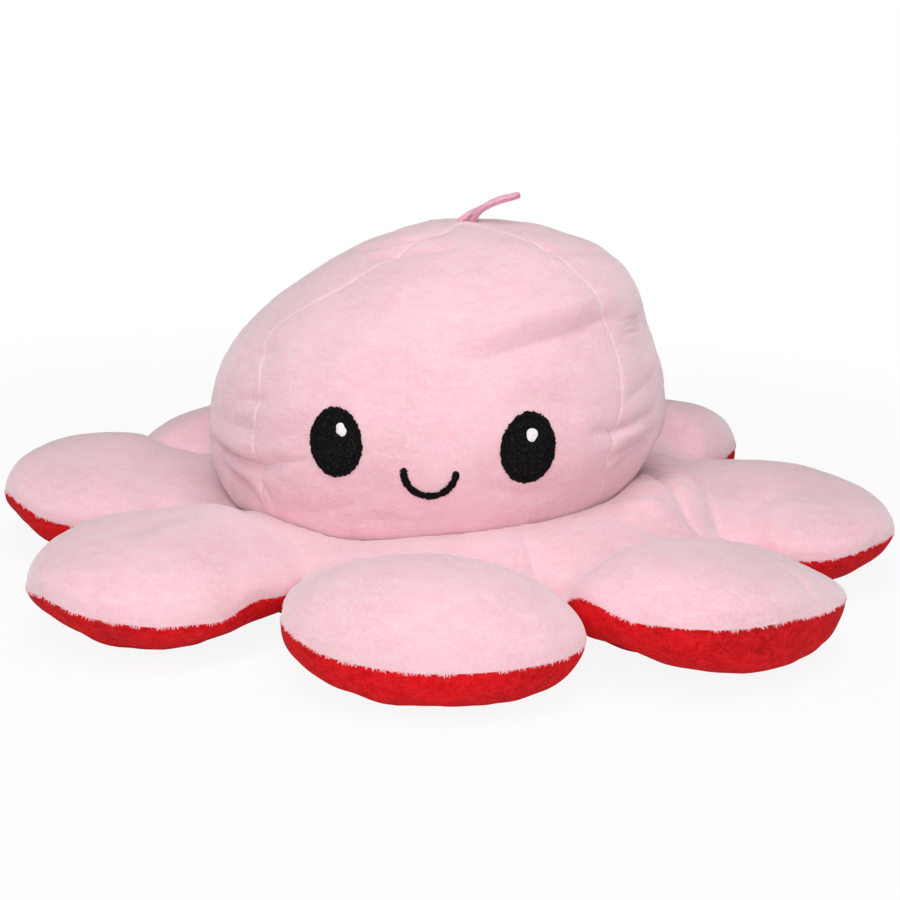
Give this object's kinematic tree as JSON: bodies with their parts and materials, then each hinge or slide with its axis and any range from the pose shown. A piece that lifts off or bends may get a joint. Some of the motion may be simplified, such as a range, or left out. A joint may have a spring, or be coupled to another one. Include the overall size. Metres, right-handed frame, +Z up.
{
  "type": "reversible plush octopus",
  "caption": "Stuffed octopus toy that turns inside out: a domed head over a red pocket, a skirt, petal-shaped arms, an embroidered face and a hanging loop.",
  "frame": {"origin": "centre of the footprint, on the surface that the toy rests on", "axes": "+Z up, the face looks towards -Y, +X is to the right seen from the front"},
  "size_m": [0.4, 0.392, 0.1626],
  "materials": {
    "pink_cloth": "short-pile plush cloth, soft and matt, paler where it is seen edge-on",
    "red_cloth": "short-pile plush cloth, soft and matt",
    "fibrefill": "loose polyester fibre",
    "black_cloth": "close embroidery, speckled",
    "black_thread": "satin stitch, slightly glossy",
    "white_thread": "satin stitch, slightly glossy",
    "pink_cord": "braided cord"
  },
  "bodies": {
    "head_and_skirt": {"skirt_top": "pink_cloth", "skirt_underside": "red_cloth", "skirt_filling": "fibrefill", "head_panel_front": "pink_cloth", "head_panel_right": "pink_cloth", "head_panel_back": "pink_cloth", "head_panel_left": "pink_cloth", "head_filling": "fibrefill", "lining_panel_front": "red_cloth", "lining_panel_right": "red_cloth", "lining_panel_back": "red_cloth", "lining_panel_left": "red_cloth", "left_eye_patch": "black_cloth", "left_eye_border": "black_thread", "left_eye_highlight": "white_thread", "right_eye_patch": "black_cloth", "right_eye_border": "black_thread", "right_eye_highlight": "white_thread", "smile": "black_thread", "hang_loop": "pink_cord"},
    "front_arm": {"front_arm_top": "pink_cloth", "front_arm_underside": "red_cloth", "front_arm_filling": "fibrefill"},
    "front_right_arm": {"front_right_arm_top": "pink_cloth", "front_right_arm_underside": "red_cloth", "front_right_arm_filling": "fibrefill"},
    "right_arm": {"right_arm_top": "pink_cloth", "right_arm_underside": "red_cloth", "right_arm_filling": "fibrefill"},
    "back_right_arm": {"back_right_arm_top": "pink_cloth", "back_right_arm_underside": "red_cloth", "back_right_arm_filling": "fibrefill"},
    "back_arm": {"back_arm_top": "pink_cloth", "back_arm_underside": "red_cloth", "back_arm_filling": "fibrefill"},
    "back_left_arm": {"back_left_arm_top": "pink_cloth", "back_left_arm_underside": "red_cloth", "back_left_arm_filling": "fibrefill"},
    "left_arm": {"left_arm_top": "pink_cloth", "left_arm_underside": "red_cloth", "left_arm_filling": "fibrefill"},
    "front_left_arm": {"front_left_arm_top": "pink_cloth", "front_left_arm_underside": "red_cloth", "front_left_arm_filling": "fibrefill"}
  },
  "joints": [
    {"name": "front_arm_lift", "type": "hinge", "parent": "head_and_skirt", "child": "front_arm", "pos_m": [0, -0.127, 0.0302], "axis": [-1, 0, 0], "range_deg": [0, 75]},
    {"name": "front_right_arm_lift", "type": "hinge", "parent": "head_and_skirt", "child": "front_right_arm", "pos_m": [0.0898, -0.0898, 0.0302], "axis": [-0.7071, -0.7071, 0], "range_deg": [0, 75]},
    {"name": "right_arm_lift", "type": "hinge", "parent": "head_and_skirt", "child": "right_arm", "pos_m": [0.127, 0, 0.0302], "axis": [0, -1, 0], "range_deg": [0, 75]},
    {"name": "back_right_arm_lift", "type": "hinge", "parent": "head_and_skirt", "child": "back_right_arm", "pos_m": [0.0898, 0.0898, 0.0302], "axis": [0.7071, -0.7071, 0], "range_deg": [0, 75]},
    {"name": "back_arm_lift", "type": "hinge", "parent": "head_and_skirt", "child": "back_arm", "pos_m": [0, 0.127, 0.0302], "axis": [1, 0, 0], "range_deg": [0, 75]},
    {"name": "back_left_arm_lift", "type": "hinge", "parent": "head_and_skirt", "child": "back_left_arm", "pos_m": [-0.0898, 0.0898, 0.0302], "axis": [0.7071, 0.7071, 0], "range_deg": [0, 75]},
    {"name": "left_arm_lift", "type": "hinge", "parent": "head_and_skirt", "child": "left_arm", "pos_m": [-0.127, 0, 0.0302], "axis": [0, 1, 0], "range_deg": [0, 75]},
    {"name": "front_left_arm_lift", "type": "hinge", "parent": "head_and_skirt", "child": "front_left_arm", "pos_m": [-0.0898, -0.0898, 0.0302], "axis": [-0.7071, 0.7071, 0], "range_deg": [0, 75]}
  ]
}
